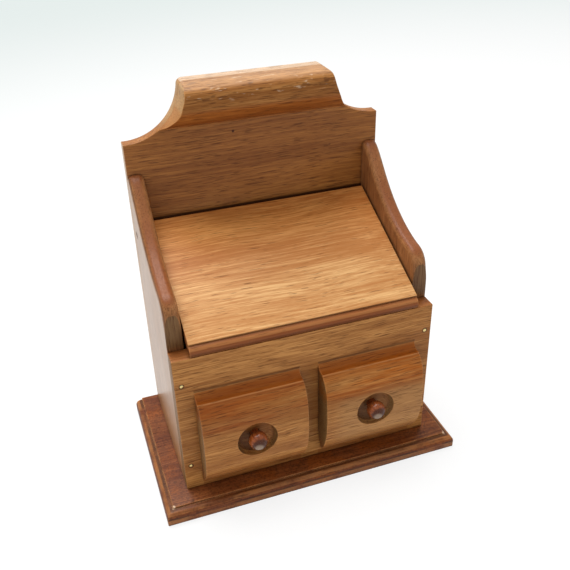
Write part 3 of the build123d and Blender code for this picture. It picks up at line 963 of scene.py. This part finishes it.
class CARDBOX_OT_crest(bpy.types.Operator):
    """Make the rolled crest moulding"""

    bl_idname = "card_box.crest"
    bl_label = "Crest"

    def execute(self, context):
        finish, shape = settings(context)
        piece = add_piece("crest", [crest_solid()], ease=shape.edge_ease, flat_over=1e3)
        dress(piece, "crest_moulding", wood(
            "Crest wood", "crest", finish.bare, self.zones, (0.2, 0.9, 0.6), pores=0.45,
            rough=0.5, coat=0.5, wear=0.6))
        return {"FINISHED"}

    def zones(self, paint, finish):
        """Redder hollow under the roll, a rubbed patch on top with dark dents and pale specks,
        and a paler top edge that is rubbed wood with painted sheen."""
        top = corners("crest_moulding")[1][2]
        paint.stain_over(paint.between(2, top - 27.0, top - 14.5, 3.0), 0.7)
        patch = (paint.between(0, -42.0, 38.0, 6.0)
                 * paint.between(2, top - 7.0, top + 1.0, 3.0))
        for per_metre, low, high, amount, colour_of in (
                (420.0, 0.58, 0.68, 0.5, finish.pore), (600.0, 0.62, 0.75, 0.4, finish.chalk)):
            flecks = paint.noise(0.35 * per_metre, per_metre, 2.0).spread(low, high)
            paint.tint(patch * flecks, amount, colour_of)
        # Paler top edge: rubbed wood with painted sheen.
        paint.tint(paint.between(2, top - 0.4, top + 1.0, 2.5), 0.15, finish.chalk)


class CARDBOX_OT_front(bpy.types.Operator):
    """Make the carved front board"""

    bl_idname = "card_box.front"
    bl_label = "Front board"

    def execute(self, context):
        finish, shape = settings(context)
        piece = add_piece("front", [front_board_solid(shape)], ease=shape.edge_ease,
                          flat_over=60.0)
        dress(piece, "front_board", wood(
            "Front wood", "front", finish.faded, self.zones, (0.5, 0.2, 0.8), fibre=0.6,
            coat=0.6, wear=0.8))
        return {"FINISHED"}

    def zones(self, paint, finish):
        """Orange tops of the drawer fronts, redder at the left and paler below at the right,
        with a painted highlight on the arris under a warm ledge and painted shade in the
        crease over it, painted shade on the drawers' tucked-in foot, darker dishes with
        painted shade on their lower left, painted shade round the sunk brads, and a redder
        top edge."""
        low, high = corners("front_board")
        face, foot = high[1] - PANEL, low[2]
        proud = paint.between(1, low[1] - 1.0, face - 1.2)
        broken = paint.noise(14.0, 90.0, 3.0).spread(0.32, 0.62)
        fine = paint.noise(30.0, 420.0, 3.0, 0.7).spread(0.4, 0.6)
        warm = proud * paint.between(2, foot + 54.0, foot + 72.0, 9.0) * broken
        warm = warm * (0.5 + 0.5 * fine)
        paint.stain_over(warm, 1.0)
        paint.tint(warm, 0.3, finish.warm)
        paint.tint(warm * paint.between(0, -70.0, -4.0), 0.45, finish.deep)
        paint.bands(proud * paint.between(0, 20.0, 70.0, 14.0), foot,
                    [(8.0, 46.0, 7.0, 0.36, finish.bare)])
        near_end, far_end = DRAWER_ENDS
        drawers = (paint.between(0, -far_end, -near_end, 0.2)
                   | paint.between(0, near_end, far_end, 0.2))
        # The ledge's warm band is stain; painted shade in the crease where the cove meets the
        # flat, and on the drawers' foot, which tucks in under them.
        paint.bands(drawers, foot, (
            (LEDGE - 0.1, LEDGE + 3.5, 0.3, 0.6, finish.warm),
            (LEDGE + 4.2, LEDGE + 5.0, 0.5, 0.45, finish.grime),
            (4.0, 12.0, 9.0, 0.45, finish.deep)))
        # Painted highlight along the arris under the ledge.
        paint.bands(paint.between(1, face - 6.8, face - 6.1, 0.15), foot,
                    [(LEDGE - 0.4, LEDGE + 0.2, 0.2, 0.45, finish.worn)])
        paint.tint(paint.between(2, high[2] - 0.1, high[2] + 1.0, 0.2), 0.6, finish.deep)
        for x in (-DISH_X, DISH_X):
            y, z = low[1] + 7.5, foot + DISH_Z
            dish = paint.near((x, y, z), 11.0, 0.8)
            paint.tint(dish, 0.35, finish.deep)
            # Painted shade on the lower left of each dish.
            paint.tint(dish * paint.near((x - 7, y, z - 5), 7.0, 4.0), 0.6, finish.grime)
        heads_low, heads_high = corners("front_brads")
        for x in (heads_low[0] + BRAD, heads_high[0] - BRAD):
            for z in (heads_low[2] + BRAD, heads_high[2] - BRAD):
                # Painted shade round each sunk brad head.
                paint.tint(paint.near((x, face, z), 1.3, 0.5), 0.7, finish.grime)


class CARDBOX_OT_lid(bpy.types.Operator):
    """Make the sloping lid"""

    bl_idname = "card_box.lid"
    bl_label = "Lid"

    def execute(self, context):
        finish, shape = settings(context)
        piece = add_piece("lid_board", [lid_solid()], ease=shape.edge_ease * 0.6)
        dress(piece, "lid", wood(
            "Lid wood", "lid", finish.deep, self.zones, (0.05, 0.6, 0.3), pores=0.1,
            waviness=0.006, fibre=0.55, coat=0.4))
        return {"FINISHED"}

    def zones(self, paint, finish):
        """Orange rear half, and deep stain on the moulded front edge, with painted shade on its
        lower half and in its step, a rubbed line at its foot and a painted highlight along the
        top of its round: the place is turned by the slope, so that Y runs along the lid and Z
        up through it."""
        y, z, slope = lid_corner()
        paint.place = paint.add("ShaderNodeMapping", Vector=paint.place,
                                Rotation=(-slope, 0, 0))
        front, foot = turn_by((y, z), -slope)
        paint.stain_over(paint.between(1, front + 80.0, front + 120.0, 55.0), 0.82)
        edge = paint.between(1, front - 1.0, front + 4.25, 0.1)
        paint.tint(edge, 0.88, finish.deep)
        # Painted shade on the lower half of the edge and in its step, a rubbed line at its
        # foot, and a painted highlight along the top of its round.
        paint.bands(edge, foot, (
            (0.0, 2.2, 1.2, 0.45, finish.grime), (0.0, 0.4, 0.3, 0.4, finish.worn),
            (4.4, 5.0, 0.3, 0.3, finish.worn), (5.3, 6.0, 0.1, 0.6, finish.grime)))


class CARDBOX_OT_knobs(bpy.types.Operator):
    """Make both turned knobs"""

    bl_idname = "card_box.knobs"
    bl_label = "Knobs"

    def execute(self, context):
        finish, shape = settings(context)
        material = wood("Knob wood", "knob", finish.knob_dark, self.zones, (0.3, 0.3, 0.9),
                        grain=1, pores=0.25, rough=0.15, gloss=0.3, coat=0.0, wear=0.0,
                        grime=0.3)
        for node in ("knob_left", "knob_right"):
            piece = add_piece(node + "_turned", [knob_solid(node, shape)], flat_over=1e3)
            dress(piece, node, material)
        return {"FINISHED"}

    def zones(self, paint, finish):
        """Painted reflections on the front of each ball: a pale spot of the floor in a dark
        ring.
        """
        for node in ("knob_left", "knob_right"):
            (x, _, z), tip = middle(node), corners(node)[0][1]
            # Painted reflections: a dark front, and a pale spot where the floor is mirrored.
            paint.tint(paint.near((x, tip, z - 0.8), 4.2, 1.4), 0.7, finish.grime)
            paint.tint(paint.near((x - 0.9, tip + 0.2, z - 1.2), 1.6, 1.6), 0.27,
                       finish.chalk)


class CARDBOX_OT_metal(bpy.types.Operator):
    """Make the brads' heads and finish the pins and screws"""

    bl_idname = "card_box.metal"
    bl_label = "Brads, pins and screws"

    def execute(self, context):
        finish, shape = settings(context)
        brass = metal("Brass", finish.brass, 0.22)
        steel = metal("Steel", finish.steel, 0.4)
        for node, back in (("front_brads", False), ("back_brads", True)):
            piece = add_piece(node + "_heads", brad_solids(node, shape, back), flat_over=1e3)
            dress(piece, node, brass)
        for node in ("hinge_pin_left", "hinge_pin_right", "base_screws"):
            mesh = frame["nodes"][node].data
            mesh.materials.clear()
            mesh.materials.append(steel)
        return {"FINISHED"}


class CARDBOX_OT_stage(bpy.types.Operator):
    """Make the floor, the backdrop, the light and the camera"""

    bl_idname = "card_box.stage"
    bl_label = "Stage"

    def execute(self, context):
        scene, stage = context.scene, context.scene.card_box_stage
        floor = self.sweep(stage)
        self.surround(scene, stage)
        self.lamp(scene, stage.overhead)
        self.camera(scene)
        scene.view_settings.view_transform = "Standard"
        return {"FINISHED"}

    def sweep(self, stage):
        """Wide floor that stays pale to the camera and keeps the box's shadow."""
        half, level = 4.0, -0.00005
        mesh = bpy.data.meshes.new("floor")
        mesh.from_pydata([(-half, -half, level), (half, -half, level), (half, half, level),
                          (-half, half, level)], [], [(0, 1, 2, 3)])
        floor = bpy.data.objects.new("floor", mesh)
        bpy.context.scene.collection.objects.link(floor)
        material, paint, shader = new_material("Paper floor")
        paint.feed(shader, Base_Color=stage.floor, Roughness=0.9, Specular_IOR_Level=0.0)
        far = paint.distance((0.45, 0.0, 0.0)).spread(0.55, 1.7)
        paper = paint.mix(far, (1.0, 1.0, 1.0), stage.far)
        glow = paint.add("ShaderNodeEmission", Color=paper, Strength=1.0)
        both = paint.add("ShaderNodeMixShader", self.sight(paint) * (0.82 + 0.18 * far),
                         Value(paint, shader.outputs[0]), glow)
        paint.feed(paint.tree.nodes["Material Output"], Surface=both)
        mesh.materials.append(material)
        return floor

    def sight(self, nodes):
        """1 for rays of the camera, and for those that gloss or glass sends on."""
        seen = nodes.add("ShaderNodeLightPath", outlet="Is Camera Ray")
        return seen | seen.beside("Is Glossy Ray") | seen.beside("Is Transmission Ray")

    def surround(self, scene, stage):
        """Even white light all round; the camera and reflections see the pale backdrop."""
        world = bpy.data.worlds.new("Surround")
        world.use_nodes = True
        nodes = Nodes(world.node_tree)
        seen = self.sight(nodes)
        nodes.feed(world.node_tree.nodes["Background"],
                   Color=nodes.mix(seen, (1.0, 1.0, 1.0), stage.far),
                   Strength=stage.sky + seen * (1.0 - stage.sky))
        scene.world = world

    def lamp(self, scene, power):
        """Large soft lamp overhead, behind the box and to its left."""
        lamp = bpy.data.lights.new("Overhead", "AREA")
        lamp.shape, lamp.size, lamp.energy = "DISK", 0.9, power
        piece = bpy.data.objects.new("Overhead", lamp)
        piece.location = (-0.15, 0.35, 1.2)
        aim = Vector(piece.location) - Vector((0.0, 0.0, 0.1))
        piece.rotation_euler = aim.to_track_quat("Z", "Y").to_euler()
        scene.collection.objects.link(piece)

    def camera(self, scene):
        """Camera at the photograph's place; the rows are its right, down and forward, and
        its focal length is in pixels of a picture 570 wide."""
        rows = np.array([(0.94324917, -0.33127906, -0.02313393),
                         (-0.19146172, -0.48558351, -0.85296604),
                         (0.27133634, 0.80898877, -0.5214535)])
        place, focal, width, film = (-0.115213, -0.343229, 0.330956), 732.355, 570, 36.0
        lens = bpy.data.cameras.new("Camera")
        lens.sensor_fit, lens.sensor_width = "HORIZONTAL", film
        lens.lens = focal / width * film
        camera = bpy.data.objects.new("Camera", lens)
        turn = Matrix(np.column_stack([rows[0], -rows[1], -rows[2]]).tolist()).to_4x4()
        camera.matrix_world = Matrix.Translation(place) @ turn
        scene.collection.objects.link(camera)
        scene.camera = camera


PIECES = (CARDBOX_OT_base, CARDBOX_OT_sides, CARDBOX_OT_back, CARDBOX_OT_crest,
          CARDBOX_OT_front, CARDBOX_OT_lid, CARDBOX_OT_knobs, CARDBOX_OT_metal,
          CARDBOX_OT_stage)
SETTINGS = {"card_box_shape": CardBoxShape, "card_box_finish": CardBoxFinish,
            "card_box_stage": CardBoxStage}


class CARDBOX_PT_panel(bpy.types.Panel):
    """Settings and steps of the card box"""

    bl_idname = "CARDBOX_PT_panel"
    bl_label = "Index card box"
    bl_space_type = "VIEW_3D"
    bl_region_type = "UI"
    bl_category = "Card box"

    def draw(self, context):
        for operator in PIECES:
            self.layout.operator(operator.bl_idname)
        for name, kind in SETTINGS.items():
            box = self.layout.box()
            for setting in kind.__annotations__:
                box.prop(getattr(context.scene, name), setting)


CLASSES = (*SETTINGS.values(), *PIECES, CARDBOX_PT_panel)


def register():
    for each in CLASSES:
        bpy.utils.register_class(each)
    for name, kind in SETTINGS.items():
        setattr(bpy.types.Scene, name, PointerProperty(type=kind))


def unregister():
    for name in SETTINGS:
        delattr(bpy.types.Scene, name)
    for each in reversed(CLASSES):
        bpy.utils.unregister_class(each)


def main():
    """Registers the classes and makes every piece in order."""
    register()
    bpy.ops.card_box.base()
    bpy.ops.card_box.sides()
    bpy.ops.card_box.back()
    bpy.ops.card_box.crest()
    bpy.ops.card_box.front()
    bpy.ops.card_box.lid()
    bpy.ops.card_box.knobs()
    bpy.ops.card_box.metal()
    bpy.ops.card_box.stage()


if __name__ == "__main__":
    main()
